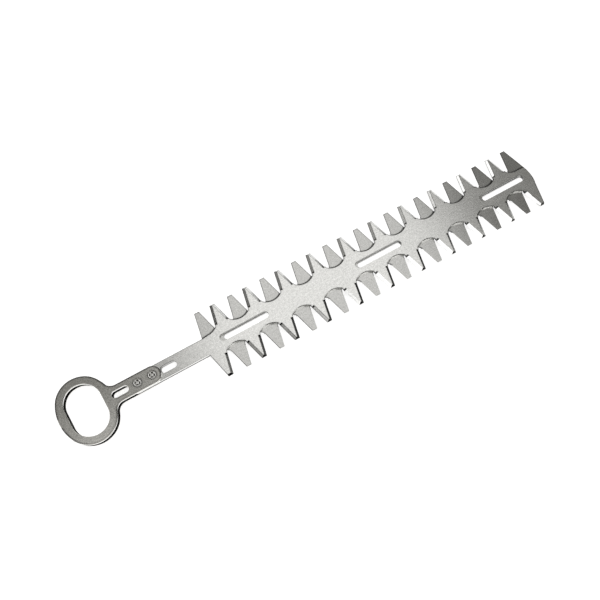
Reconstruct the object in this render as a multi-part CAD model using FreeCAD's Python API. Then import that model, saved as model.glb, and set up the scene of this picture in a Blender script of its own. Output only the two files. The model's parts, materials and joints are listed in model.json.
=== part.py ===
"""Blade set of a double-sided hedge trimmer: two toothed blades face to face, with riveted drive eyes."""
import FreeCAD, Part
import math
import os

from FreeCAD import Vector

# Teeth, measured on the mating face
tooth_pitch = 35.0
long_row_teeth = 11  # the opposite edge has one tooth fewer, half a pitch across
tip_span = 70.8  # across opposite tooth tips
tip_width = 5.0
flank_angle = 13.1  # degrees, each flank to the tooth's centre line
root_width = 18.8  # across opposite gullet bottoms
gullet_radius = 14.5

# Ground edges, on the outer face only
bevel_width = 2.4
tip_bevel = 1.7
edge_land = 0.3  # height of the unground edge
bevel_stop = 5.4  # from the gullet bottom to the end of the grind

# Edges rolled over by the punch, on the outer face only, along the gullets and the nose
roll_width = 0.5
roll_depth = 0.28

# Blade body
blade_thickness = 2.3
shank_width = 17.0
shank_corner = 4.5
heel_angle = 11.5  # degrees, outer flank of the first tooth
nose_angle = 14.0  # degrees, outer flank of the last tooth
nose_radius = 37.0
blade_lead = 1.25  # how far the lower blade stands ahead along the stroke

# Guide slots of the upper blade, on the blade's axis
guide_slots = 3
guide_slot_length = 51.5
guide_slot_width = 7.0
guide_heel_wall = 7.6  # from the first tooth's centre line to the first slot
guide_nose_wall = 8.9  # from the last slot to the nose
guide_offset = 1.4  # from halfway to the middle slot, towards the nose

# Guide slots of the lower blade
lower_slot_length = 48.6
lower_slot_width = 6.0
lower_heel_wall = 10.9
lower_nose_wall = 9.6

# Drive eye
eye_thickness = 2.3
hole_width = 34.8  # along the stroke, a running fit on the eccentric
hole_length = 51.0
side_band = 9.0
end_band = 7.5
shoulder_angle = 26.0  # degrees, where the oval's side arcs meet its end arcs
neck_fillet = 9.0
eye_edge = 0.35  # broken edges of the outer face
eye_to_teeth = 128.0  # drive eye centre to the first tooth
tab_reach = 74.1  # drive eye centre to the end of the tab

# Small slots in the drive eye and in the shank
small_slot_length = 16.6
small_slot_width = 7.0
eye_slot_wall = 7.9  # from the eye's hole to its slot
shank_slot_gap = 0.4  # from the end of the tab, under it, to the shank's slot

# Rivets
rivet_spacing = 14.7
rivet_diameter = 5.0
rivet_clearance = 0.05  # round the rivet's shank
inner_head = 6.8  # countersunk head, flush with the mating face
outer_sink = 7.8  # countersink in the drive eye
outer_recess = 0.9  # how deep the formed head lies in its countersink
core_diameter = 3.6
shank_overlap = 7.5  # from the first rivet to the end of the shank

# Sizes that follow
tip_reach = tip_span / 2
root = root_width / 2
half_tip = tip_width / 2
half_shank = shank_width / 2
taper = math.tan(math.radians(flank_angle))
heel_taper = math.tan(math.radians(heel_angle))
nose_taper = math.tan(math.radians(nose_angle))
short_row_teeth = long_row_teeth - 1
last_tooth = eye_to_teeth + short_row_teeth * tooth_pitch
nose_round = nose_radius * (1 / math.cos(math.radians(nose_angle)) - 1)
nose = last_tooth + half_tip + tip_reach * nose_taper - nose_round
mating_plane = blade_thickness + eye_thickness
tab_end_radius = half_shank
second_rivet = tab_reach - tab_end_radius
rivets_at = [second_rivet - rivet_spacing, second_rivet]
shank_start = rivets_at[0] - shank_overlap
oval_a = hole_width / 2 + side_band
oval_b = hole_length / 2 + end_band
part_start = -oval_a + min(0.0, blade_lead)
part_end = nose + max(0.0, blade_lead)


def line(p, q):
    """Straight edge between two plan points."""
    return Part.LineSegment(Vector(*p, 0), Vector(*q, 0)).toShape()


def arc(p, middle, q):
    """Arc edge through three plan points."""
    return Part.Arc(Vector(*p, 0), Vector(*middle, 0), Vector(*q, 0)).toShape()


def obround(x, length, width, height):
    """Prism of a round-ended slot centred at x on the blade's axis."""
    r = width / 2
    a, b = x - length / 2 + r, x + length / 2 - r
    edges = [
        line((a, -r), (b, -r)),
        arc((b, -r), (b + r, 0), (b, r)),
        line((b, r), (a, r)),
        arc((a, r), (a - r, 0), (a, -r)),
    ]
    return Part.Face(Part.Wire(edges)).extrude(Vector(0, 0, height))


def revolve(profile, x):
    """Solid of revolution about the vertical through x, from radius and height pairs."""
    points = [Vector(x + r, 0, z) for r, z in profile]
    face = Part.Face(Part.makePolygon(points + points[:1]))
    return face.revolve(Vector(x, 0, 0), Vector(0, 0, 1), 360)


def flank_root():
    """Distance from the axis where a flank runs into the gullet's arc."""
    centre = root + gullet_radius
    offset = half_tip + tip_reach * taper - tooth_pitch / 2
    a = 1 + taper**2
    b = offset * taper + centre
    c = offset**2 + centre**2 - gullet_radius**2
    return (b - math.sqrt(b * b - a * c)) / a


def half_width(y):
    """Half a tooth's width at this distance from the axis."""
    return half_tip + (tip_reach - y) * taper


def gullet(x, side, start, end):
    """Gullet edge round x, from one plan offset to another."""
    centre = root + gullet_radius

    def at(dx):
        return (x + dx, side * (centre - math.sqrt(gullet_radius**2 - dx**2)))

    return arc(at(start), at((start + end) / 2), at(end))


def tooth_points(x, side):
    """Plan points of a tooth from its heel-side foot round the tip to its nose-side foot."""
    y = flank_root()
    w = half_width(y)
    plan = [(-w, y), (-half_tip, tip_reach), (half_tip, tip_reach), (w, y)]
    return [(x + dx, side * dy) for dx, dy in plan]


def chain(points):
    """Straight edges through plan points."""
    return [line(p, q) for p, q in zip(points, points[1:])]


long_row = [eye_to_teeth + k * tooth_pitch for k in range(long_row_teeth)]
short_row = [x + tooth_pitch / 2 for x in long_row[:-1]]
foot = tooth_pitch / 2 - half_width(flank_root())


def gullets(side):
    """Gullets along one edge: the middle of each and the plan offsets of its ends."""
    if side < 0:
        return [(x, -foot, foot) for x in short_row]
    return [(x, -foot if x > long_row[0] else 0.0, foot if x < last_tooth else 0.0) for x in long_row]


def heel_point(side):
    """Plan point where the first tooth's outer flank meets the shank."""
    return (long_row[0] - half_tip - (tip_reach - half_shank) * heel_taper, side * half_shank)


def long_edge():
    """Edges from the shank to the nose along the edge with more teeth."""
    side = -1
    edges = []
    gaps = [gullet(x, side, start, end) for x, start, end in gullets(side)]
    for i, x in enumerate(long_row):
        heel_foot, tip, tip_end, nose_foot = tooth_points(x, side)
        start = heel_point(side) if i == 0 else heel_foot
        last = i == long_row_teeth - 1
        edges += chain([start, tip, tip_end] if last else [start, tip, tip_end, nose_foot])
        edges += gaps[i : i + 1]
    return edges


def short_edge():
    """Edges from the shank to the nose along the edge with fewer teeth."""
    side = 1
    gaps = [gullet(x, side, start, end) for x, start, end in gullets(side)]
    edges = [line(heel_point(side), (long_row[0], root)), gaps[0]]
    for x, gap in zip(short_row, gaps[1:]):
        edges += chain(tooth_points(x, side)) + [gap]
    return edges


def on_nose(y):
    """Plan point on the nose's arc at this distance from the axis."""
    return (nose - nose_radius + math.sqrt(nose_radius**2 - y**2), y)


def nose_points():
    """Plan points round the nose: the last gullet, the corner, both ends of the arc, the last tooth's tip."""
    tangent_y = nose_radius * math.sin(math.radians(nose_angle))
    corner = (last_tooth + half_tip + (tip_reach - root) * nose_taper, root)
    if root < tangent_y:
        corner = on_nose(root)
    arc_end = on_nose(min(root, tangent_y))
    return [(last_tooth, root), corner, arc_end, on_nose(-tangent_y), (last_tooth + half_tip, -tip_reach)]


def blade_outline():
    """Plan face of a blade, with the longer row of teeth on its near side."""
    gap, corner, arc_end, arc_start, tip = nose_points()
    nose_edges = [line(tip, arc_start), arc(arc_start, on_nose((arc_start[1] + arc_end[1]) / 2), arc_end)]
    if arc_end != corner:
        nose_edges.append(line(arc_end, corner))
    nose_edges.append(line(corner, gap))
    a, h = shank_start, half_shank
    c, s = shank_corner, shank_corner * (1 - math.sqrt(0.5))
    shank = [
        line(heel_point(1), (a + c, h)),
        arc((a + c, h), (a + s, h - s), (a, h - c)),
        line((a, h - c), (a, c - h)),
        arc((a, c - h), (a + s, s - h), (a + c, -h)),
        line((a + c, -h), heel_point(-1)),
    ]
    return Part.Face(Part.Wire(long_edge() + nose_edges + short_edge()[::-1] + shank))


def grind(start, end, inward, width, low):
    """Wedge that grinds the outer face between two plan points, from this height at the edge up."""
    run = Vector(*end, 0) - Vector(*start, 0)
    over = 1.5  # past the face and past the edge, so that the cut is clean
    outside = Vector(*start, 0) - Vector(*inward, 0) * width
    inside = Vector(*start, 0) + Vector(*inward, 0) * width * over
    high = low + (blade_thickness - low) * over
    section = [
        Vector(*start, low),
        Vector(inside.x, inside.y, high),
        Vector(outside.x, outside.y, high),
        Vector(outside.x, outside.y, low),
    ]
    return Part.Face(Part.makePolygon(section + section[:1])).extrude(run)


def tooth_grinds(x, side, heel_flank, nose_flank):
    """Wedges for one tooth: its ground flanks and its tip."""
    stop = root + bevel_stop
    run_out = tip_reach + bevel_width
    cos, sin = math.cos(math.radians(flank_angle)), math.sin(math.radians(flank_angle))
    reach, y = tooth_pitch / 3, side * tip_reach
    wedges = [grind((x - reach, y), (x + reach, y), (0, -side), tip_bevel, edge_land)]
    for way, ground in ((-1, heel_flank), (1, nose_flank)):
        if ground:
            end = (x + way * half_width(stop), side * stop)
            tip = (x + way * half_width(run_out), side * run_out)
            wedges.append(grind(end, tip, (-way * cos, -side * sin), bevel_width, edge_land))
    return wedges


def roll_arc(x, y, radius, angles, way):
    """Cutter that rolls over the edge of an arc between two angles, away from its centre or towards it."""
    top = blade_thickness
    near, far = radius - way * roll_width / 2, radius + way * roll_width * 1.5
    profile = [
        (near, top - roll_depth * 1.5),
        (far, top + roll_depth / 2),
        (far, top + roll_depth),
        (near, top + roll_depth),
    ]
    start, end = sorted(angles)
    cos, sin = math.cos(math.radians(start)), math.sin(math.radians(start))
    points = [Vector(x + r * cos, y + r * sin, z) for r, z in profile]
    face = Part.Face(Part.makePolygon(points + points[:1]))
    return face.revolve(Vector(x, y, 0), Vector(0, 0, 1), end - start)


def roll_line(start, end):
    """Wedge that rolls over a straight edge, with the blade on the right of the way along it."""
    run = (Vector(*end, 0) - Vector(*start, 0)).normalize()
    return grind(start, end, (run.y, -run.x), roll_width, blade_thickness - roll_depth)


def edge_rolls():
    """Cutters for the rolled edges: gullets, heel and nose."""
    cuts = []
    for side in (-1, 1):
        for x, *ends in gullets(side):
            angles = [-side * (90 - math.degrees(math.asin(dx / gullet_radius))) for dx in ends]
            cuts.append(roll_arc(x, side * (root + gullet_radius), gullet_radius, angles, 1))
    gap, corner, arc_end, arc_start, tip = nose_points()
    angles = [math.degrees(math.asin(y / nose_radius)) for x, y in (arc_start, arc_end)]
    cuts.append(roll_arc(nose - nose_radius, 0, nose_radius, angles, -1))
    cuts += [roll_line(heel_point(1), (long_row[0], root)), roll_line(gap, corner), roll_line(arc_start, tip)]
    if arc_end != corner:
        cuts.append(roll_line(corner, arc_end))
    return cuts


def sink(x, radius, head, face, other):
    """Hole for a rivet with a right-angled countersink in one face, from that face to the other."""
    way = 1 if other > face else -1
    depth = way * (head - radius)
    return revolve([(0, face), (head, face), (radius, face + depth), (radius, other), (0, other)], x)


def guide_cuts(length, width, heel_wall, nose_wall, offset):
    """Prisms of the guide slots, evenly spaced but for the offset of those between the ends."""
    first = long_row[0] + heel_wall + length / 2
    last = nose - nose_wall - length / 2
    step = (last - first) / (guide_slots - 1)
    inner = [first + i * step + offset for i in range(1, guide_slots - 1)]
    return [obround(x, length, width, blade_thickness) for x in [first, *inner, last]]


def make_blade(guides):
    """Blade with these guide slots, lying on the mating plane at height zero with its outer face up."""
    blade = blade_outline().extrude(Vector(0, 0, blade_thickness))
    cuts = guides + edge_rolls()
    shank_slot = tab_reach - shank_slot_gap + small_slot_length / 2
    cuts.append(obround(shank_slot, small_slot_length, small_slot_width, blade_thickness))
    bore = rivet_diameter / 2 + rivet_clearance
    cuts += [sink(x, bore, inner_head / 2, 0, blade_thickness) for x in rivets_at]
    for i, x in enumerate(long_row):
        cuts += tooth_grinds(x, -1, i > 0, i < long_row_teeth - 1)
    for x in short_row:
        cuts += tooth_grinds(x, 1, True, True)
    return blade.cut(cuts).Solids[0]


def oval():
    """Plan face of the drive eye's ring: four tangent arcs round the eye's centre."""
    alpha = math.radians(shoulder_angle)
    p = (oval_b - oval_a) / (1 + math.tan(alpha) - 1 / math.cos(alpha))
    side_radius = oval_a + p
    x, y = side_radius * math.cos(alpha) - p, side_radius * math.sin(alpha)
    edges = [
        arc((x, -y), (oval_a, 0), (x, y)),
        arc((x, y), (0, oval_b), (-x, y)),
        arc((-x, y), (-oval_a, 0), (-x, -y)),
        arc((-x, -y), (0, -oval_b), (x, -y)),
    ]
    return Part.Face(Part.Wire(edges))


def make_eye():
    """Upper drive eye, lying on the blade's outer face."""
    up = Vector(0, 0, eye_thickness)
    r, end = half_shank, tab_reach - tab_end_radius
    tab_edges = [
        line((0, -r), (end, -r)),
        arc((end, -r), (tab_reach, 0), (end, r)),
        line((end, r), (0, r)),
        line((0, r), (0, -r)),
    ]
    tab = Part.Face(Part.Wire(tab_edges)).extrude(up)
    plate = oval().extrude(up).fuse(tab).removeSplitter()

    def is_neck(edge):
        a, b = (v.Point for v in edge.Vertexes)
        upright = abs(a.x - b.x) + abs(a.y - b.y) < 1e-6
        return upright and abs(abs(a.y) - r) < 1e-4 and a.x < oval_a + neck_fillet

    neck = [e for e in plate.Edges if len(e.Vertexes) == 2 and is_neck(e)]
    plate = plate.makeFillet(neck_fillet, neck)
    hole = obround(0, hole_length, hole_width, eye_thickness)
    hole.rotate(Vector(0, 0, 0), Vector(0, 0, 1), 90)
    plate = plate.cut(hole)
    rim = [e for e in plate.Edges if all(abs(v.Z - eye_thickness) < 1e-6 for v in e.Vertexes)]
    plate = plate.makeChamfer(eye_edge, rim)
    slot_at = hole_width / 2 + eye_slot_wall + small_slot_length / 2
    cuts = [obround(slot_at, small_slot_length, small_slot_width, eye_thickness)]
    bore = rivet_diameter / 2 + rivet_clearance
    cuts += [sink(x, bore, outer_sink / 2, eye_thickness, 0) for x in rivets_at]
    plate = plate.cut(cuts)
    plate.translate(Vector(0, 0, blade_thickness))
    return plate.Solids[0]


def make_rivets():
    """Upper rivets: flush countersunk heads below, formed heads with a raised core above."""
    shank = rivet_diameter / 2
    top = mating_plane
    inner, outer, core = inner_head / 2, outer_sink / 2, core_diameter / 2
    profile = [
        (0, 0),
        (inner, 0),
        (shank, inner - shank),
        (shank, top - (outer - shank)),
        (outer - outer_recess, top - outer_recess),
        (core, top - outer_recess),
        (core, top - outer_recess * 0.3),
        (0, top - outer_recess * 0.3),
    ]
    return [revolve(profile, x) for x in rivets_at]


def place(shapes, lower):
    """Upper pieces as they are, or turned over for the lower blade, set on the part's own frame."""
    placed = []
    for shape in shapes:
        piece = shape.copy()
        if lower:
            piece.rotate(Vector(0, 0, 0), Vector(1, 0, 0), 180)
            piece.translate(Vector(blade_lead, 0, 0))
        piece.translate(Vector(-(part_start + part_end) / 2, 0, mating_plane))
        placed.append(piece)
    return placed


os.makedirs("parts", exist_ok=True)
guides = {
    "upper": guide_cuts(guide_slot_length, guide_slot_width, guide_heel_wall, guide_nose_wall, guide_offset),
    "lower": guide_cuts(lower_slot_length, lower_slot_width, lower_heel_wall, lower_nose_wall, 0.0),
}
eye, rivets = make_eye(), make_rivets()
for level, cuts in guides.items():
    pieces = {"blade": [make_blade(cuts)], "drive_eye": [eye], "rivets": rivets}
    for name, shapes in pieces.items():
        solids = place(shapes, level == "lower")
        node = solids[0] if len(solids) == 1 else Part.makeCompound(solids)
        node.exportStep(f"parts/{level}_{name}.step")
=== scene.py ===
"""Looks of a hedge trimmer's blade set: two blades, drive eyes and rivets in a plain studio."""

import json
import logging
import math
from dataclasses import dataclass, field
from enum import Enum
from functools import cache
from typing import Any, Final

import bpy
import numpy as np
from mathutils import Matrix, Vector

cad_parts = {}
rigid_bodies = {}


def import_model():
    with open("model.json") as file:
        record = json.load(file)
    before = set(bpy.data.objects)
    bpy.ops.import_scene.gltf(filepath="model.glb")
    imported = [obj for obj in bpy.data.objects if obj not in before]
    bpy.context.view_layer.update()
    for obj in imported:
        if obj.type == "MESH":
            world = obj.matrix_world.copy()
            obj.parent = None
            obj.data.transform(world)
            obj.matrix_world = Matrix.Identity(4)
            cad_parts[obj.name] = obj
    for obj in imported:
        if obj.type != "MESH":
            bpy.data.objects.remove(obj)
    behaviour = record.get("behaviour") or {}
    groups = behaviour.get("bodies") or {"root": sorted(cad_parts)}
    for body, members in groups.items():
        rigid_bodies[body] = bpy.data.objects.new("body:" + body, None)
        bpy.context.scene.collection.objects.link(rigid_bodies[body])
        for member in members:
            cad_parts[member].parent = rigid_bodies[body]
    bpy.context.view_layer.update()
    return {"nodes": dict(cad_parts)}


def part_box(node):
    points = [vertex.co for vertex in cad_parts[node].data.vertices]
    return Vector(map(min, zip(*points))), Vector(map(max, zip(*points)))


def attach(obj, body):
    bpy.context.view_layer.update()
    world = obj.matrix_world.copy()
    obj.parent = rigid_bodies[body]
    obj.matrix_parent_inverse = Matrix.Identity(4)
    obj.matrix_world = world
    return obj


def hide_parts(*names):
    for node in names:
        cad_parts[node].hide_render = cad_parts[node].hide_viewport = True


logging.basicConfig(level=logging.INFO, format="%(name)s: %(message)s")
log = logging.getLogger("blade_set")

Colour = tuple[float, float, float]
Point = tuple[float, float, float]
Span = tuple[float, float]
Socket = bpy.types.NodeSocket
Outputs = bpy.types.bpy_prop_collection
Feed = Socket | float | tuple[float, ...]
Feeds = dict[str | int, Feed]

# Spans of a normal's share along Z, over which a mask rises from nought to one.
FLAT: Final[Span] = (0.90, 0.97)
SLANTED: Final[Span] = (0.10, 0.35)
ROLLED: Final[Span] = (0.80, 0.84)

# The same along X or Y; a span that runs downwards is for surfaces that look the other way.
FRONT_EDGE: Final[Span] = (-0.20, -0.40)
RIGHT_EDGE: Final[Span] = (0.12, 0.28)
FACING_WALL: Final[Span] = (-0.45, -0.85)
NEAR_SIDE: Final[Span] = (0.02, -0.06)
NEAR_TIP: Final[Span] = (-0.55, -0.68)
RIGHT_BEVEL: Final[Span] = (0.36, 0.50)
RIGHT_ROLL: Final[Span] = (0.02, 0.10)
STEEP_ROLL: Final[Span] = (0.10, 0.22)

# Places along a blade, in metres: where the painted dark outlines fade out, where painted shade sets in, where
# the nose begins.
PLAIN_FROM: Final[Span] = (0.005, 0.030)
SHADE_FROM: Final[Span] = (-0.115, -0.035)
NOSE_FROM: Final[float] = 0.243

# Noise: share and scale of broad lines among fine ones, detail and roughness of patches, swing of a grain.
BROAD_SHARE: Final[float] = 0.4
BROAD_SCALE: Final[float] = 0.23
PATCH_DETAIL: Final[float] = 4.0
PATCH_ROUGH: Final[float] = 0.6
PATCH: Final[Span] = (0.35, 0.65)
GRAIN_SWING: Final[float] = 0.08

# Share of a narrow corner's surroundings that is covered.
COVERED: Final[Span] = (0.03, 0.17)


class Layer(Enum):
    """Which of the two blades a piece belongs to, with the way its outer face looks."""

    UPPER = 1.0
    LOWER = -1.0

    def node(self, piece: str) -> str:
        """Name of this layer's CAD node for a kind of piece."""
        return f"{self.name.lower()}_{piece}"


class Sheet:
    """Lays nodes out in a tree and wires them."""

    def __init__(self, tree: bpy.types.NodeTree) -> None:
        """Keep the tree that is filled."""
        self.tree = tree

    def put(self, kind: str, feeds: Feeds | None = None, **traits: Any) -> bpy.types.Node:
        """Add a node, set its traits and feed its sockets.

        Args:
            kind: Blender's name for the node's type.
            feeds: socket name or index to a socket, which is linked, or a plain value.
            traits: properties of the node itself.

        Returns:
            The new node.
        """
        node = self.tree.nodes.new(kind)
        for trait, value in traits.items():
            setattr(node, trait, value)
        for name, value in (feeds or {}).items():
            if isinstance(value, Socket):
                self.tree.links.new(value, node.inputs[name])
            else:
                node.inputs[name].default_value = value
        return node

    def give(self, node: bpy.types.Node, results: dict[str, Socket]) -> None:
        """Link results to the inputs of a node that have their names."""
        for label, result in results.items():
            self.tree.links.new(result, node.inputs[label])

    def group(self, tree: bpy.types.NodeTree, feeds: Feeds) -> Outputs:
        """Outputs of a shared node group that is fed its own values."""
        return self.put("ShaderNodeGroup", feeds, node_tree=tree).outputs

    def calc(self, operation: str, *values: Feed) -> Socket:
        """Result of a math node on one, two or three values."""
        return self.put("ShaderNodeMath", dict(enumerate(values)), operation=operation).outputs[0]

    def vector(self, operation: str, *values: Feed) -> Outputs:
        """Outputs of a vector math node, which are Vector and Value."""
        return self.put("ShaderNodeVectorMath", dict(enumerate(values)), operation=operation).outputs

    def times(self, product: Socket, *others: Feed) -> Socket:
        """Multiply values.

        Args:
            product: the first value.
            others: what it is multiplied by, in order.

        Returns:
            Their product.
        """
        for other in others:
            product = self.calc("MULTIPLY", product, other)
        return product

    def rest(self, value: Feed) -> Socket:
        """What a value leaves of one."""
        return self.calc("SUBTRACT", 1.0, value)

    def axes(self, vector: Socket) -> Outputs:
        """The three shares of a vector."""
        return self.put("ShaderNodeSeparateXYZ", {0: vector}).outputs

    def normal(self) -> Socket:
        """The surface's plain normal."""
        return self.put("ShaderNodeNewGeometry").outputs["Normal"]

    def noise(self, place: Socket, scale: Feed, detail: float = 2.0, rough: float = 0.5) -> Socket:
        """Soft noise round a half."""
        feeds = {"Vector": place, "Scale": scale, "Detail": detail, "Roughness": rough}
        return self.put("ShaderNodeTexNoise", feeds).outputs[0]

    def swing(self, noise: Socket, contrast: Socket) -> Socket:
        """Tone round one that follows a noise round a half."""
        return self.calc("ADD", self.times(self.calc("SUBTRACT", noise, 0.5), contrast), 1.0)

    def ramp(self, value: Feed, span: tuple[Feed, Feed]) -> Socket:
        """Smooth step from nought to one as a value goes through a span, which may run downwards."""
        feeds = {"Value": value, "From Min": span[0], "From Max": span[1]}
        return self.put("ShaderNodeMapRange", feeds, interpolation_type="SMOOTHSTEP").outputs[0]

    def lerp(self, share: Feed, under: Feed, over: Feed) -> Socket:
        """Number between two others, by a share."""
        return self.put("ShaderNodeMix", {0: share, 2: under, 3: over}, data_type="FLOAT").outputs[0]

    def tint(self, share: Feed, under: Feed, over: Feed, how: str = "MIX") -> Socket:
        """Colour between two others, by a share and a way of mixing."""
        feeds = {0: share, 6: rgba(under), 7: rgba(over)}
        return self.put("ShaderNodeMix", feeds, data_type="RGBA", blend_type=how).outputs[2]

    def toned(self, colour: Feed, tone: Socket) -> Socket:
        """A colour made darker or lighter by a tone."""
        grey = self.put("ShaderNodeCombineColor", {0: tone, 1: tone, 2: tone}).outputs[0]
        return self.tint(1.0, colour, grey, "MULTIPLY")


def rgba(colour: Feed) -> Feed:
    """A plain colour with full alpha; a socket is left as it is."""
    return (*colour, 1.0) if isinstance(colour, tuple) else colour


def open_group(name: str, inputs: dict[str, float | None]) -> tuple[Sheet, Outputs]:
    """Start a shader node group.

    Args:
        name: the group's name.
        inputs: input names with their default number, or None for a vector.

    Returns:
        The sheet to fill, and the sockets that bring the inputs in.
    """
    tree = bpy.data.node_groups.new(name, "ShaderNodeTree")
    for label, default in inputs.items():
        kind = "NodeSocketVector" if default is None else "NodeSocketFloat"
        socket = tree.interface.new_socket(name=label, in_out="INPUT", socket_type=kind)
        if default is not None:
            socket.default_value = default
    sheet = Sheet(tree)
    return sheet, sheet.put("NodeGroupInput").outputs


def close_group(sheet: Sheet, results: dict[str, Socket]) -> bpy.types.NodeTree:
    """Put a group's results out under their names.

    Args:
        sheet: the group's sheet.
        results: output names with the numbers or normals that feed them.

    Returns:
        The finished group.
    """
    for label, result in results.items():
        kind = "NodeSocketVector" if result.type == "VECTOR" else "NodeSocketFloat"
        sheet.tree.interface.new_socket(name=label, in_out="OUTPUT", socket_type=kind)
    sheet.give(sheet.put("NodeGroupOutput"), results)
    return sheet.tree


@cache
def plate_zones() -> bpy.types.NodeTree:
    """Group that tells a plate's mating face, bevels, rolled edges and walls apart by their slope.

    Returns:
        The group.
    """
    sheet, start = open_group("plate_zones", {"Outer Side": 1.0})
    slope = sheet.axes(sheet.normal())[2]
    lean = sheet.times(slope, start["Outer Side"])
    outer = sheet.ramp(lean, FLAT)
    mating = sheet.ramp(sheet.times(lean, -1.0), FLAT)
    wall = sheet.rest(sheet.ramp(sheet.calc("ABSOLUTE", slope), SLANTED))
    between = sheet.calc("SUBTRACT", sheet.rest(wall), sheet.calc("ADD", outer, mating))
    bevel = sheet.calc("MAXIMUM", between, 0.0)
    roll = sheet.times(bevel, sheet.ramp(lean, ROLLED))
    return close_group(sheet, {"Mating Face": mating, "Bevel": bevel, "Roll": roll, "Wall": wall})


@cache
def drawn_lines() -> bpy.types.NodeTree:
    """Group of fine grinding lines drawn along X: stretched noise in two widths.

    Returns:
        The group.
    """
    inputs = {"Vector": None, "Across": 3000.0, "Along": 40.0, "Contrast": 0.1}
    sheet, start = open_group("drawn_lines", inputs)
    across, along = start["Across"], start["Along"]
    stretch = sheet.put("ShaderNodeCombineXYZ", {0: along, 1: across, 2: across}).outputs[0]
    place = sheet.vector("MULTIPLY", start["Vector"], stretch)["Vector"]
    fine, broad = sheet.noise(place, 1.0), sheet.noise(place, BROAD_SCALE, 1.0)
    height = sheet.lerp(BROAD_SHARE, fine, broad)
    return close_group(sheet, {"Tone": sheet.swing(height, start["Contrast"]), "Height": height})


@cache
def soft_patches() -> bpy.types.NodeTree:
    """Group of slow patches of tone, as handling and oil leave on steel.

    Returns:
        The group.
    """
    sheet, start = open_group("soft_patches", {"Vector": None, "Per Metre": 60.0, "Contrast": 0.1})
    noise = sheet.noise(start["Vector"], start["Per Metre"], PATCH_DETAIL, PATCH_ROUGH)
    results = {"Tone": sheet.swing(noise, start["Contrast"]), "Patch": sheet.ramp(noise, PATCH)}
    return close_group(sheet, results)


@cache
def edge_marks() -> bpy.types.NodeTree:
    """Group that rounds sharp edges in the shading, masks the edges, and tells which way they look.

    Returns:
        The group.
    """
    inputs = {"Radius": 0.0002, "Reach": 0.0004, "From": 0.004, "To": 0.024}
    sheet, start = open_group("edge_marks", inputs)
    rounded = sheet.put("ShaderNodeBevel", {"Radius": start["Radius"]}, samples=4).outputs[0]
    wide = sheet.put("ShaderNodeBevel", {"Radius": start["Reach"]}, samples=6).outputs[0]
    bend = sheet.rest(sheet.vector("DOT_PRODUCT", wide, sheet.normal())["Value"])
    side, depth, _ = sheet.axes(wide)
    return close_group(sheet, {
        "Edge": sheet.ramp(bend, (start["From"], start["To"])),
        "Front": sheet.ramp(depth, FRONT_EDGE),
        "Right": sheet.ramp(side, RIGHT_EDGE),
        "Normal": rounded,
    })


@cache
def far_corner_shade() -> bpy.types.NodeTree:
    """Group that masks the corners at the foot of the far gullets, where the blade's colour is darkened as
    painted shade.

    Returns:
        The group.
    """
    sheet, start = open_group("far_corner_shade", {"Vector": None, "Reach": 0.0022, "Beyond": 0.006})
    free = sheet.put("ShaderNodeAmbientOcclusion", {"Distance": start["Reach"]}, samples=8).outputs["AO"]
    covered = sheet.ramp(sheet.rest(free), COVERED)
    beyond = sheet.calc("GREATER_THAN", sheet.axes(start["Vector"])[1], start["Beyond"])
    return close_group(sheet, {"Mask": sheet.times(covered, beyond)})


@cache
def blade_places() -> bpy.types.NodeTree:
    """Group that finds places on a blade.

    They are its guide slots, the corners and stops of its bevels, the flanks of its teeth, its near half, the
    part of that half where the painted dark outlines have faded out, and its nose.

    Returns:
        The group.
    """
    bevels = {"Corner From": 0.0118, "Stop From": 0.0139, "Stop To": 0.0160}
    sheet, start = open_group("blade_places", {"Vector": None, "Slot Reach": 0.0044} | bevels)
    along, side, _ = sheet.axes(start["Vector"])
    across = sheet.calc("ABSOLUTE", side)
    corner, stop, flank = (sheet.calc("GREATER_THAN", across, start[label]) for label in bevels)
    near = sheet.calc("LESS_THAN", side, 0.0)
    return close_group(sheet, {
        "Slot": sheet.calc("LESS_THAN", across, start["Slot Reach"]),
        "Corner": sheet.calc("SUBTRACT", corner, flank),
        "Stop": sheet.calc("SUBTRACT", stop, flank),
        "Flank": flank,
        "Near": near,
        "Plain": sheet.times(near, sheet.ramp(along, PLAIN_FROM)),
        "Nose": sheet.calc("GREATER_THAN", along, NOSE_FROM),
    })


@cache
def blade_facings() -> bpy.types.NodeTree:
    """Group that sorts a blade's surfaces by facing: front and left walls, lit rolls, shaded bevels.

    Returns:
        The group.
    """
    sheet, start = open_group("blade_facings", {"Vector": None, "Fade From": 0.09, "Fade To": 0.19})
    x, y, _ = sheet.axes(sheet.normal())
    along = sheet.axes(start["Vector"])[0]
    near = sheet.ramp(y, NEAR_SIDE)
    fade = sheet.ramp(along, (start["Fade To"], start["Fade From"]))
    shade = sheet.times(fade, sheet.ramp(along, SHADE_FROM))
    right = sheet.times(sheet.ramp(x, RIGHT_BEVEL), near, shade)
    steep = sheet.times(sheet.rest(fade), sheet.ramp(x, STEEP_ROLL))
    return close_group(sheet, {
        "Front Wall": sheet.ramp(y, FACING_WALL),
        "Left Wall": sheet.ramp(x, FACING_WALL),
        "Lit Roll": sheet.times(sheet.ramp(x, RIGHT_ROLL), near, sheet.rest(steep)),
        "Shaded Bevel": sheet.calc("MAXIMUM", right, sheet.ramp(y, NEAR_TIP)),
    })


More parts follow.
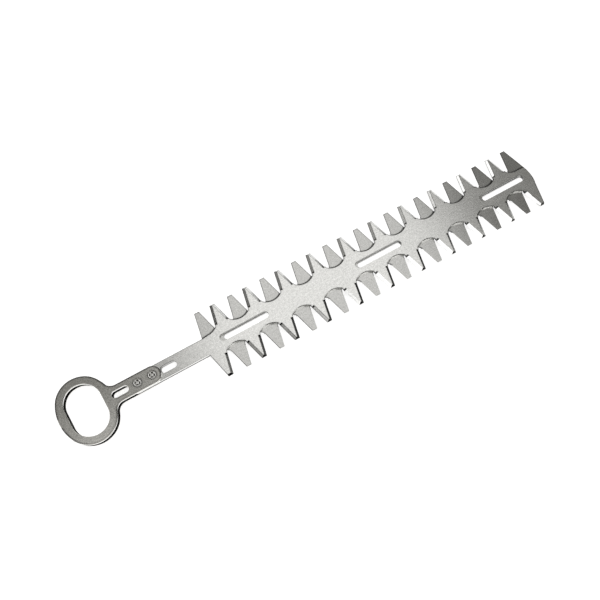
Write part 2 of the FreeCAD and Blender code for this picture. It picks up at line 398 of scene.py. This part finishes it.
@cache
def eye_rim() -> bpy.types.NodeTree:
    """Group that masks a drive eye's outer rim, away from its oval hole and its small slot.

    Returns:
        The group.
    """
    oval = {"Vector": None, "Centre": 0.0, "Straight": 0.0081, "Split": 0.022}
    sheet, start = open_group("eye_rim", oval | {"Slot Reach": 0.0044, "Slot End": 0.046})
    x, y, _ = sheet.axes(start["Vector"])
    along = sheet.calc("SUBTRACT", x, start["Centre"])
    across = sheet.calc("ABSOLUTE", y)
    bow = sheet.calc("MAXIMUM", sheet.calc("SUBTRACT", across, start["Straight"]), 0.0)
    reach = sheet.calc("SQRT", sheet.calc("ADD", sheet.times(along, along), sheet.times(bow, bow)))
    outside = sheet.calc("GREATER_THAN", reach, start["Split"])
    within = sheet.calc("LESS_THAN", across, start["Slot Reach"])
    slot = sheet.times(within, sheet.calc("LESS_THAN", along, start["Slot End"]))
    return close_group(sheet, {"Rim": sheet.times(outside, sheet.rest(slot))})


def open_material(name: str) -> tuple[bpy.types.Material, Sheet, bpy.types.Node, Socket]:
    """Start a material.

    Args:
        name: the finish's name.

    Returns:
        The material, its sheet, its Principled node and the object coordinates.
    """
    material = bpy.data.materials.new(name)
    material.use_nodes = True
    sheet = Sheet(material.node_tree)
    place = sheet.put("ShaderNodeTexCoord").outputs["Object"]
    return material, sheet, material.node_tree.nodes["Principled BSDF"], place


@dataclass(frozen=True)
class Lines:
    """Measures of drawn lines: how many there are per metre across and along, and how strong they are."""

    across: float
    along: float
    contrast: float

    def lay(self, sheet: Sheet, place: Socket) -> Outputs:
        """Outputs of the group of lines, with these measures."""
        feeds = {"Vector": place, "Across": self.across, "Along": self.along, "Contrast": self.contrast}
        return sheet.group(drawn_lines(), feeds)


@dataclass(frozen=True)
class Patches:
    """Measures of soft patches: how many there are per metre, and how strong they are."""

    per_metre: float
    contrast: float

    def lay(self, sheet: Sheet, place: Socket) -> Outputs:
        """Outputs of the group of patches, with these measures."""
        feeds = {"Vector": place, "Per Metre": self.per_metre, "Contrast": self.contrast}
        return sheet.group(soft_patches(), feeds)


@dataclass(frozen=True)
class Relief:
    """Strength and depth of a fine relief."""

    strength: float
    depth: float

    def lay(self, sheet: Sheet, height: Socket, **normal: Socket) -> Socket:
        """Normal of the relief over a height, on the plain normal or on one named Normal."""
        feeds = {"Strength": self.strength, "Distance": self.depth, "Height": height, **normal}
        return sheet.put("ShaderNodeBump", feeds).outputs[0]


def grained(sheet: Sheet, rough: float, grain: Socket) -> Socket:
    """Roughness that swings with a grain."""
    return sheet.calc("ADD", rough - GRAIN_SWING / 2, sheet.times(grain, GRAIN_SWING))


@dataclass(frozen=True)
class Masks:
    """What the mask groups put out for one blade."""

    zones: Outputs
    edges: Outputs
    places: Outputs
    facings: Outputs


@dataclass(frozen=True)
class GroundSteel:
    """Finish of a blade: ground outer face, duller mating face, bright bevels and cut walls, painted shade on
    edges, corners, the lower blade's walls and walls that face away, and painted highlights on some rolled
    edges.
    """

    outer: Colour = (0.590, 0.588, 0.574)
    mating: Colour = (0.428, 0.426, 0.414)
    bevel: Colour = (0.640, 0.640, 0.634)
    wall: Colour = (0.800, 0.797, 0.785)
    # Near-black walls of the lower blade: painted shade.
    shaded_lower_wall: Colour = (0.070, 0.069, 0.067)
    # Middle grey for the guide slot walls, darker than the upper blade's other walls: painted shade inside the
    # slots.
    slot_wall: Colour = (0.500, 0.497, 0.488)
    # Near-black walls that face left on the near flanks: painted shade.
    shaded_side_wall: Colour = (0.080, 0.079, 0.077)
    # Rolled edges: near-black as painted shade, and near-white as a painted highlight where they face the
    # light (lit_roll).
    roll: Colour = (0.055, 0.055, 0.054)
    lit_roll: Colour = (0.820, 0.818, 0.800)
    stop: Colour = (0.050, 0.050, 0.049)
    shade: Colour = (0.085, 0.085, 0.084)
    outer_rough: float = 0.22
    mating_rough: float = 0.20
    bevel_rough: float = 0.16
    wall_rough: float = 0.22
    roll_rough: float = 0.45
    rough_swing: Span = (0.94, 1.06)
    ground: Lines = Lines(3200.0, 40.0, 0.22)
    honed: Lines = Lines(2100.0, 260.0, 0.22)
    patches: Patches = Patches(55.0, 0.10)
    coarse: Patches = Patches(420.0, 0.45)
    fine: Patches = Patches(900.0, 0.75)
    relief: Relief = Relief(0.25, 0.00003)
    edge_radius: float = 0.00012
    edge_reach: float = 0.0013
    far_lit: float = 0.4
    # Share of colour kept under the painted shade on edges that look away from the light.
    edge_shade_keep: float = 0.30
    # Share of colour kept under the painted shade in the far gullet corners.
    corner_shade_keep: float = 0.10

    def wall_colour(self, sheet: Sheet, masks: Masks, layer: Layer) -> Socket:
        """Colour of the cut walls.

        Args:
            sheet: the material's sheet.
            masks: the blade's masks.
            layer: which blade, because the lower one's walls are painted dark as shade.

        Returns:
            The colour.
        """
        places, facings = masks.places, masks.facings
        front = self.wall if layer is Layer.UPPER else self.shaded_lower_wall
        facing = sheet.tint(places["Slot"], front, self.slot_wall)
        # Walls facing left on the near flanks get painted shade.
        left = sheet.times(facings["Left Wall"], sheet.times(places["Plain"], places["Flank"]))
        wall = sheet.tint(facings["Front Wall"], sheet.tint(left, self.shaded_side_wall, front), facing)
        return sheet.tint(places["Stop"], wall, self.stop)

    def colour(self, sheet: Sheet, masks: Masks, layer: Layer) -> Socket:
        """Colour of the whole blade, without lines and marks.

        Args:
            sheet: the material's sheet.
            masks: the blade's masks.
            layer: which blade.

        Returns:
            The colour.
        """
        zones, places, facings = masks.zones, masks.places, masks.facings
        # Painted shade on the near right bevels and tips, and painted highlight or shade on the rolled edges.
        bevel = sheet.tint(facings["Shaded Bevel"], self.bevel, self.shade)
        bevel = sheet.tint(places["Stop"], bevel, self.stop)
        roll = sheet.tint(facings["Lit Roll"], self.roll, self.lit_roll)
        colour = sheet.tint(zones["Mating Face"], self.outer, self.mating)
        colour = sheet.tint(zones["Bevel"], colour, sheet.tint(zones["Roll"], bevel, roll))
        return sheet.tint(zones["Wall"], colour, self.wall_colour(sheet, masks, layer))

    def marks(self, sheet: Sheet, masks: Masks, place: Socket) -> tuple[Socket, Socket]:
        """Tones of the painted shade on edges, and of the painted shade in corners.

        Edges get painted shade where they look away from the front or turn into a corner, unless they face the
        light. In the guide slots it is the front edges that get painted shade.

        Args:
            sheet: the material's sheet.
            masks: the blade's masks.
            place: the object coordinates.

        Returns:
            Both tones.
        """
        edges, places = masks.edges, masks.places
        turned = sheet.times(edges["Right"], places["Corner"])
        lit = sheet.times(edges["Right"], sheet.lerp(places["Near"], self.far_lit, 1.0))
        lit = sheet.times(sheet.calc("MAXIMUM", lit, places["Plain"]), places["Flank"])
        lit = sheet.times(lit, sheet.rest(places["Nose"]))
        away = sheet.calc("MAXIMUM", sheet.rest(edges["Front"]), turned)
        away = sheet.times(away, sheet.rest(lit))
        # Painted shade on edges that look away from the front, or on the front edges in the guide slots.
        painted_edge_shade = sheet.times(edges["Edge"], sheet.lerp(places["Slot"], away, edges["Front"]))
        # Painted shade on the lower teeth's mating faces at the foot of the far gullets, and on near corner
        # edges.
        corner = sheet.group(far_corner_shade(), {"Vector": place})["Mask"]
        painted_corner_shade = sheet.times(corner, masks.zones["Mating Face"])
        corner_edge_shade = sheet.times(edges["Edge"], turned, places["Near"])
        corner_and_edge_shade = sheet.calc("MAXIMUM", painted_corner_shade, corner_edge_shade)
        return sheet.lerp(painted_edge_shade, 1.0, self.edge_shade_keep), sheet.lerp(corner_and_edge_shade, 1.0, self.corner_shade_keep)

    def roughness(self, sheet: Sheet, masks: Masks, patch: Socket) -> Socket:
        """Roughness of the whole blade.

        Args:
            sheet: the material's sheet.
            masks: the blade's masks.
            patch: mask of the soft patches, which swing it a little.

        Returns:
            The roughness.
        """
        zones = masks.zones
        rough = sheet.lerp(zones["Mating Face"], self.outer_rough, self.mating_rough)
        rough = sheet.lerp(zones["Bevel"], rough, self.bevel_rough)
        rough = sheet.lerp(zones["Wall"], rough, self.wall_rough)
        lit_roll = sheet.times(zones["Roll"], masks.facings["Lit Roll"])
        rough = sheet.lerp(lit_roll, rough, self.roll_rough)
        return sheet.times(rough, sheet.lerp(patch, *self.rough_swing))

    def material(self, layer: Layer) -> bpy.types.Material:
        """Build the finish for one blade.

        Args:
            layer: which blade, because its outer face looks up or down.

        Returns:
            The blade's material.
        """
        material, sheet, shader, place = open_material(f"ground_steel_{layer.name.lower()}")
        shader.inputs["Metallic"].default_value = 1.0
        masks = Masks(
            zones=sheet.group(plate_zones(), {"Outer Side": layer.value}),
            edges=sheet.group(edge_marks(), {"Radius": self.edge_radius, "Reach": self.edge_reach}),
            places=sheet.group(blade_places(), {"Vector": place}),
            facings=sheet.group(blade_facings(), {"Vector": place}),
        )
        kinds = (self.ground, self.honed, self.patches, self.coarse, self.fine)
        ground, honed, patches, coarse, fine = (kind.lay(sheet, place) for kind in kinds)
        bevel = masks.zones["Bevel"]
        lines = sheet.lerp(bevel, ground["Tone"], honed["Tone"])
        grain = sheet.times(coarse["Tone"], fine["Tone"])
        tone = sheet.times(lines, patches["Tone"], grain, *self.marks(sheet, masks, place))
        height = sheet.lerp(bevel, ground["Height"], honed["Height"])
        sheet.give(shader, {
            "Base Color": sheet.toned(self.colour(sheet, masks, layer), tone),
            "Roughness": self.roughness(sheet, masks, patches["Patch"]),
            "Normal": self.relief.lay(sheet, height, Normal=masks.edges["Normal"]),
        })
        return material


@dataclass(frozen=True)
class SatinSteel:
    """Finish of a drive eye: tumbled plate with a fine even grain, and painted shade on the outer rim's edges
    that look away from the front.
    """

    face: Colour = (0.525, 0.518, 0.492)
    # Near-black mating faces: painted shade in the gap between the two eyes.
    inner: Colour = (0.030, 0.029, 0.027)
    wall: Colour = (0.920, 0.913, 0.890)
    rough: float = 0.19
    inner_rough: float = 0.60
    wall_rough: float = 0.14
    brushed: Lines = Lines(1800.0, 300.0, 0.14)
    patches: Patches = Patches(90.0, 0.16)
    coarse: Patches = Patches(420.0, 0.60)
    fine: Patches = Patches(900.0, 0.90)
    relief: Relief = Relief(0.3, 0.00004)
    grain_per_metre: float = 2600.0
    grain_share: float = 0.5
    edge_radius: float = 0.00016
    edge_reach: float = 0.0026
    edge_from: float = 0.002
    edge_to: float = 0.010
    # Share of colour kept under the painted shade on the rim's edges.
    edge_shade_keep: float = 0.06

    def material(self, layer: Layer, centre: float) -> bpy.types.Material:
        """Build the finish for one drive eye.

        Args:
            layer: which blade the eye drives.
            centre: where the middle of its hole lies along the blade.

        Returns:
            The eye's material.
        """
        material, sheet, shader, place = open_material(f"satin_steel_{layer.name.lower()}")
        shader.inputs["Metallic"].default_value = 1.0
        zones = sheet.group(plate_zones(), {"Outer Side": layer.value})
        reaches = {"Radius": self.edge_radius, "Reach": self.edge_reach}
        edges = sheet.group(edge_marks(), reaches | {"From": self.edge_from, "To": self.edge_to})
        rim = sheet.group(eye_rim(), {"Vector": place, "Centre": centre})["Rim"]
        kinds = (self.brushed, self.patches, self.coarse, self.fine)
        brushed, patches, coarse, fine = (kind.lay(sheet, place) for kind in kinds)
        grain = sheet.noise(place, self.grain_per_metre)
        # Painted shade on the rim's edges and chamfers that look away from the front.
        away = sheet.times(sheet.rest(edges["Front"]), rim)
        painted_edge_shade = sheet.times(sheet.calc("MAXIMUM", edges["Edge"], zones["Bevel"]), away)
        painted_edge_shade = sheet.times(painted_edge_shade, sheet.rest(zones["Wall"]))
        speckle = sheet.times(coarse["Tone"], fine["Tone"])
        tone = sheet.times(brushed["Tone"], patches["Tone"], speckle)
        tone = sheet.times(tone, sheet.lerp(painted_edge_shade, 1.0, self.edge_shade_keep))
        colour = sheet.tint(zones["Wall"], self.face, self.wall)
        # Mating faces get the near-black painted shade.
        colour = sheet.tint(zones["Mating Face"], colour, self.inner)
        rough = sheet.lerp(zones["Wall"], grained(sheet, self.rough, grain), self.wall_rough)
        height = sheet.lerp(self.grain_share, brushed["Height"], grain)
        sheet.give(shader, {
            "Base Color": sheet.toned(colour, tone),
            "Roughness": sheet.lerp(zones["Mating Face"], rough, self.inner_rough),
            "Normal": self.relief.lay(sheet, height, Normal=edges["Normal"]),
        })
        return material


@dataclass(frozen=True)
class FormedSteel:
    """Finish of the rivets: steel flowed under the snap, painted dark in the groove as shade."""

    face: Colour = (0.520, 0.514, 0.497)
    # Near-black colour for the sunk part of the formed head: painted shade in the groove.
    groove: Colour = (0.045, 0.044, 0.042)
    rough: float = 0.20
    patches: Patches = Patches(500.0, 0.25)
    relief: Relief = Relief(0.25, 0.00003)
    grain_per_metre: float = 3000.0
    dark_from: float = 0.00035
    dark_to: float = 0.00075

    def material(self, middle: float, face: float) -> bpy.types.Material:
        """Build the rivets' finish.

        Args:
            middle: level of the mating plane.
            face: height of the drive eyes' outer faces from there.

        Returns:
            The rivets' material.
        """
        material, sheet, shader, place = open_material("formed_steel")
        shader.inputs["Metallic"].default_value = 1.0
        grain = sheet.noise(place, self.grain_per_metre)
        level = sheet.calc("ABSOLUTE", sheet.calc("SUBTRACT", sheet.axes(place)[2], middle))
        sunk = sheet.ramp(level, (face - self.dark_from, face - self.dark_to))
        # Painted shade: the sunk part of the head is darkened toward the groove colour.
        colour = sheet.tint(sunk, self.face, self.groove)
        sheet.give(shader, {
            "Base Color": sheet.toned(colour, self.patches.lay(sheet, place)["Tone"]),
            "Roughness": grained(sheet, self.rough, grain),
            "Normal": self.relief.lay(sheet, grain),
        })
        return material


def dress(node: bpy.types.Object, material: bpy.types.Material) -> None:
    """Give a CAD node one finish in all its slots.

    Args:
        node: the node's object.
        material: the finish.
    """
    for slot in node.material_slots:
        slot.material = material
    if not node.material_slots:
        node.data.materials.append(material)


def add_object(name: str, data: bpy.types.ID) -> bpy.types.Object:
    """Add an object to the scene.

    Args:
        name: the object's name.
        data: its mesh, lamp or camera.

    Returns:
        The object.
    """
    piece = bpy.data.objects.new(name, data)
    bpy.context.scene.collection.objects.link(piece)
    return piece


def add_mesh(
    name: str, points: np.ndarray, faces: list[list[int]], material: bpy.types.Material
) -> bpy.types.Object:
    """Add a mesh to the scene.

    Args:
        name: the object's name, which is its mesh's too.
        points: the mesh's points.
        faces: point numbers of each face.
        material: its finish.

    Returns:
        The object.
    """
    mesh = bpy.data.meshes.new(name)
    mesh.from_pydata(points, [], faces)
    mesh.materials.append(material)
    return add_object(name, mesh)


def stand(piece: bpy.types.Object, place: Point, look: Vector) -> None:
    """Stand a lamp or camera at a place and turn it to look along a direction."""
    piece.location = place
    piece.rotation_euler = look.to_track_quat("-Z", "Y").to_euler()


@dataclass
class Blades:
    """The two toothed blades, lying face to face."""

    nodes: dict[str, bpy.types.Object]
    finish: GroundSteel = field(default_factory=GroundSteel)

    def dress(self) -> None:
        """Give each blade its ground steel."""
        for layer in Layer:
            dress(self.nodes[layer.node("blade")], self.finish.material(layer))
            log.info("%s dressed", layer.node("blade"))


@dataclass
class DriveEyes:
    """The two oval drive eyes, one on each outer face."""

    nodes: dict[str, bpy.types.Object]
    hole_half: float = 0.0174
    band: float = 0.0090
    finish: SatinSteel = field(default_factory=SatinSteel)

    def dress(self) -> None:
        """Give each drive eye its satin steel."""
        for layer in Layer:
            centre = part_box(layer.node("drive_eye"))[0].x + self.band + self.hole_half
            dress(self.nodes[layer.node("drive_eye")], self.finish.material(layer, centre))
            log.info("%s dressed", layer.node("drive_eye"))


@dataclass
class Rivets:
    """Two rivets through each drive eye: a flush head inside, a formed head round a raised core outside."""

    shank: float = 0.0025
    inner_head: float = 0.0034
    outer_head: float = 0.0039
    lip_drop: float = 0.00028
    lip_radius: float = 0.0029
    crest_drop: float = 0.00012
    groove_radius: float = 0.0021
    groove_depth: float = 0.0012
    groove_reach: float = 1.5
    core: float = 0.0013
    core_drop: float = 0.00026
    middle_drop: float = 0.00014
    middle_rise: float = 0.00001
    pockets: int = 4
    pocket_turn: float = 63.0
    bridge_fill: float = 0.85
    sharp_angle: float = 35.0
    steps: int = 72
    wave_steps: int = 9
    flare_steps: int = 6
    finish: FormedSteel = field(default_factory=FormedSteel)

    def formed_head(self, height: float) -> np.ndarray:
        """Section of the formed head, from the edge of its lip in to its middle.

        The height over the radius is a smooth chain of half waves: up from the edge to the crest of the lip,
        down to the bottom of the groove, up to the edge of the core, and a low dome over the core.

        Args:
            height: the level of the drive eye's outer face above the mating plane.

        Returns:
            Radius and height pairs.
        """
        edge = self.outer_head - self.lip_drop
        marks = np.array([edge, self.lip_radius, self.groove_radius, self.core, 0.0])
        drops = np.array(
            [self.lip_drop, self.crest_drop, self.groove_depth, self.core_drop, self.middle_drop]
        )
        share = np.linspace(0.0, 1.0, self.wave_steps)
        wave = (1.0 - np.cos(np.pi * share)) / 2.0
        radius = marks[:-1, None] + (marks[1:] - marks[:-1])[:, None] * share
        drop = drops[:-1, None] + (drops[1:] - drops[:-1])[:, None] * wave
        return np.stack([radius[:, :-1].ravel(), height - drop[:, :-1].ravel()], axis=1)

    def section(self, height: float) -> np.ndarray:
        """Whole section of a rivet: flush head, shank, countersunk lip and formed head.

        The lip flares at 45 degrees, so its height grows as its radius does.

        Args:
            height: the level of the drive eye's outer face above the mating plane.

        Returns:
            Radius and height pairs.
        """
        flare = np.linspace(self.shank, self.outer_head - self.lip_drop, self.flare_steps)
        below = [(self.inner_head, 0.0), (self.shank, self.inner_head - self.shank)]
        lip = np.stack([flare, height - self.outer_head + flare], axis=1)
        return np.concatenate([np.array(below), lip[:-1], self.formed_head(height)])

    def turned(self, section: np.ndarray, centre: float, plane: float, layer: Layer) -> np.ndarray:
        """Turn a section about the vertical through a rivet.

        A point of the section goes to x = centre + r cos t, y = r sin t, z = plane + way h, with t once round.
        The groove of the formed head is filled up between its pockets, by a wave of t. Two poles close the
        ends.

        Args:
            section: radius and height pairs, from the flush head to the middle of the formed head.
            centre: where the rivet stands along the blade.
            plane: level of the mating plane.
            layer: which blade, so which way the rivet looks.

        Returns:
            The points: ring after ring, then the inner and the outer pole.
        """
        turn = np.linspace(0.0, 2.0 * np.pi, self.steps, endpoint=False)
        r, h = section[:, :1], section[:, 1:]
        x = centre + r * np.cos(turn)
        y = r * np.sin(turn)
        crest = section[-1, 1]
        inside = (r < self.lip_radius) & (h > crest - self.groove_reach * self.groove_depth)
        fill = np.where(inside, self.bridge_fill * np.maximum(crest - h, 0.0), 0.0)
        bridge = (1.0 - np.cos(self.pockets * (turn - layer.value * math.radians(self.pocket_turn)))) / 2.0
        z = plane + layer.value * (h + fill * bridge)
        top = plane + layer.value * (crest + self.middle_rise)
        rings = np.stack([x, y, z], axis=2).reshape(-1, 3)
        return np.concatenate([rings, [[centre, 0.0, plane], [centre, 0.0, top]]])

    def faces(self, rings: int, first: int, layer: Layer) -> list[list[int]]:
        """Faces of a turned section: a grid round the rings and along the section, and a fan at each pole.

        Args:
            rings: how many rings there are.
            first: number of the first ring's first point.
            layer: which blade; the lower one's faces are turned over.

        Returns:
            Point numbers of each face.
        """
        rows, here = np.meshgrid(np.arange(rings - 1), np.arange(self.steps), indexing="ij")
        a = rows * self.steps + here
        b = rows * self.steps + (here + 1) % self.steps
        grid = np.stack([a, b, b + self.steps, a + self.steps], axis=2).reshape(-1, 4)
        k = np.arange(self.steps)
        following = (k + 1) % self.steps
        last, pole = (rings - 1) * self.steps, rings * self.steps
        floor = np.stack([np.full_like(k, pole), following, k], axis=1)
        roof = np.stack([np.full_like(k, pole + 1), last + k, last + following], axis=1)
        way = slice(None) if layer is Layer.UPPER else slice(None, None, -1)
        return [face for part in (grid, floor, roof) for face in (first + part[:, way]).tolist()]

    def build(self) -> None:
        """Make both pairs of rivets in place of their plain nodes."""
        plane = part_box(Layer.UPPER.node("rivets"))[0].z
        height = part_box(Layer.UPPER.node("drive_eye"))[1].z - plane
        material = self.finish.material(plane, height)
        section = self.section(height)
        for layer in Layer:
            node = layer.node("rivets")
            low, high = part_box(node)
            points, faces = np.empty((0, 3)), []
            for centre in (low.x + self.inner_head, high.x - self.inner_head):
                faces += self.faces(len(section), len(points), layer)
                points = np.concatenate([points, self.turned(section, centre, plane, layer)])
            piece = add_mesh(f"{node}_formed", points, faces, material)
            mesh = piece.data
            mesh.polygons.foreach_set("use_smooth", np.ones(len(mesh.polygons), dtype=bool))
            mesh.set_sharp_from_angle(angle=math.radians(self.sharp_angle))
            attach(piece, "root")
            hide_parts(node)
            log.info("%s made, %d faces", piece.name, len(mesh.polygons))


@dataclass(frozen=True)
class Softbox:
    """A large soft lamp: its place, what it looks at, its size and its brightness."""

    name: str
    place: Point
    aim: Point
    width: float
    height: float
    radiance: float

    def build(self) -> None:
        """Hang the lamp and aim it, out of the camera's sight."""
        lamp = bpy.data.lights.new(self.name, "AREA")
        lamp.shape = "RECTANGLE"
        lamp.size, lamp.size_y = self.width, self.height
        lamp.energy = self.radiance * self.width * self.height * math.pi
        piece = add_object(self.name, lamp)
        stand(piece, self.place, Vector(self.aim) - Vector(self.place))
        piece.visible_camera = False


@dataclass(frozen=True)
class Viewpoint:
    """Where the camera stands, the way it looks and its lens."""

    place: Point = (-0.18652866, -0.30124141, 0.80220054)
    look: Point = (0.20112788, 0.34365586, -0.91730487)
    lens: float = 55.222
    sensor: float = 36.0
    clip: Span = (0.01, 100.0)

    def build(self) -> None:
        """Stand the camera where the photographer stood."""
        camera = bpy.data.cameras.new("camera")
        camera.lens, camera.sensor_width = self.lens, self.sensor
        camera.clip_start, camera.clip_end = self.clip
        piece = add_object("camera", camera)
        stand(piece, self.place, Vector(self.look))
        bpy.context.scene.camera = piece


@dataclass(frozen=True)
class Room:
    """A wide white floor, which takes the object's shadow, and a low white backdrop round it."""

    radius: float = 20.0
    level: float = -0.0002
    height: float = 1.4
    sides: int = 96
    white: float = 0.75
    rough: float = 0.9
    near: Span = (0.8, 3.0)
    near_glow: float = 0.67
    far_glow: float = 1.0

    def material(self, name: str, near_glow: float) -> bpy.types.Material:
        """White matt material that stays white to the eye, in reflections and through gaps.

        Args:
            name: the material's name.
            near_glow: its own brightness round the object, where the lamps add theirs.

        Returns:
            The material.
        """
        material, sheet, shader, place = open_material(name)
        shader.inputs["Base Color"].default_value = (self.white, self.white, self.white, 1.0)
        shader.inputs["Roughness"].default_value = self.rough
        shader.inputs["Emission Color"].default_value = (1.0, 1.0, 1.0, 1.0)
        path = sheet.put("ShaderNodeLightPath").outputs
        seen = sheet.calc("MAXIMUM", path["Is Camera Ray"], path["Is Glossy Ray"])
        seen = sheet.calc("MAXIMUM", seen, path["Is Transmission Ray"])
        distance = sheet.vector("LENGTH", place)["Value"]
        glow = sheet.lerp(sheet.ramp(distance, self.near), near_glow, self.far_glow)
        sheet.give(shader, {"Emission Strength": sheet.times(seen, glow)})
        return material

    def build(self) -> None:
        """Lay the floor and stand the backdrop round it.

        Both go round a ring: x = R cos t, y = R sin t, at the floor's level and at the backdrop's height.
        """
        turn = np.linspace(0.0, 2.0 * np.pi, self.sides, endpoint=False)
        ring = self.radius * np.stack([np.cos(turn), np.sin(turn)], axis=1)
        low = np.column_stack([ring, np.full(self.sides, self.level)])
        high = np.column_stack([ring, np.full(self.sides, self.height)])
        here = np.arange(self.sides)
        there = (here + 1) % self.sides
        walls = np.stack([here, here + self.sides, there + self.sides, there], axis=1).tolist()
        shapes = {
            "floor": (low, [here.tolist()], self.near_glow),
            "backdrop": (np.concatenate([low, high]), walls, self.far_glow),
        }
        for name, (points, faces, glow) in shapes.items():
            piece = add_mesh(name, points, faces, self.material(f"white_{name}", glow))


@dataclass(frozen=True)
class Dome:
    """The light round the room, which the steel mirrors: brightnesses, and the directions they fill."""

    tone: Colour = (1.0, 0.99, 0.94)
    high: float = 0.28
    left: float = 0.34
    right: float = 0.02
    front: float = 1.20
    patch: float = 0.24
    corner: float = 0.70
    high_rise: Span = (0.40, 0.62)
    left_across: Span = (-0.30, -0.85)
    left_rise: Span = (0.10, 0.36)
    front_foot: Span = (0.27, 0.31)
    front_top: Span = (0.45, 0.41)
    front_depth: Span = (-0.78, -0.90)
    patch_across: Span = (0.80, 0.92)
    patch_rise: Span = (0.118, 0.150)
    corner_across: Span = (0.34, 0.45)
    corner_depth: Span = (0.62, 0.72)

    def build(self) -> None:
        """Close the studio: grey above and left, a strip in front, a patch on the right, light corners."""
        world = bpy.data.worlds.new("studio_dome")
        world.use_nodes = True
        sheet = Sheet(world.node_tree)
        across, depth, rise = sheet.axes(sheet.put("ShaderNodeTexCoord").outputs["Generated"])
        flat = sheet.put("ShaderNodeCombineXYZ", {0: across, 1: depth}).outputs[0]
        quarter = sheet.vector("ABSOLUTE", sheet.vector("NORMALIZE", flat)["Vector"])["Vector"]
        sideways, inwards, _ = sheet.axes(quarter)
        left = sheet.times(sheet.ramp(across, self.left_across), sheet.ramp(rise, self.left_rise))
        front = sheet.times(sheet.ramp(rise, self.front_foot), sheet.ramp(rise, self.front_top))
        front = sheet.times(front, sheet.ramp(depth, self.front_depth))
        patch = sheet.times(sheet.ramp(rise, self.patch_rise), sheet.ramp(across, self.patch_across))
        corner = sheet.ramp(sideways, self.corner_across)
        corner = sheet.times(corner, sheet.ramp(inwards, self.corner_depth))
        low = sheet.lerp(left, self.right, self.left)
        for mask, glow in ((front, self.front), (patch, self.patch), (corner, self.corner)):
            low = sheet.lerp(mask, low, glow)
        background = world.node_tree.nodes["Background"]
        background.inputs["Color"].default_value = rgba(self.tone)
        sheet.give(background, {"Strength": sheet.lerp(sheet.ramp(rise, self.high_rise), low, self.high)})
        bpy.context.scene.world = world


@dataclass
class Studio:
    """Camera, white room, uneven dome and soft lamps."""

    viewpoint: Viewpoint = Viewpoint()
    room: Room = Room()
    dome: Dome = Dome()
    lamps: tuple[Softbox, ...] = (
        Softbox("key_softbox", (0.309, 0.474, 1.207), (0.309, 0.474, 0.0), 0.718, 0.758, 1.075),
        Softbox("side_softbox", (-1.265, 0.511, 1.27), (0.0, 0.0, 0.0), 2.2, 0.9, 1.60),
        Softbox("front_softbox", (0.39, -0.50, 1.20), (0.39, -0.50, 0.0), 0.82, 0.60, 1.90),
        Softbox("heel_softbox", (-0.356, -0.065, 1.20), (-0.356, -0.065, 0.0), 0.522, 0.87, 0.918),
    )

    def build(self) -> None:
        """Set up the whole studio."""
        for part in (self.viewpoint, self.room, self.dome, *self.lamps):
            part.build()
        bpy.context.scene.view_settings.view_transform = "Standard"
        log.info("studio ready, %d lamps", len(self.lamps))


def main() -> None:
    """Load the frame, dress every piece, set up the studio and build the rivets."""
    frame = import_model()
    for piece in list(bpy.data.objects):
        if piece.name in ("Cube", "Light", "Camera"):
            bpy.data.objects.remove(piece)
    Studio().build()
    Blades(frame["nodes"]).dress()
    DriveEyes(frame["nodes"]).dress()
    Rivets().build()


if __name__ == "__main__":
    main()
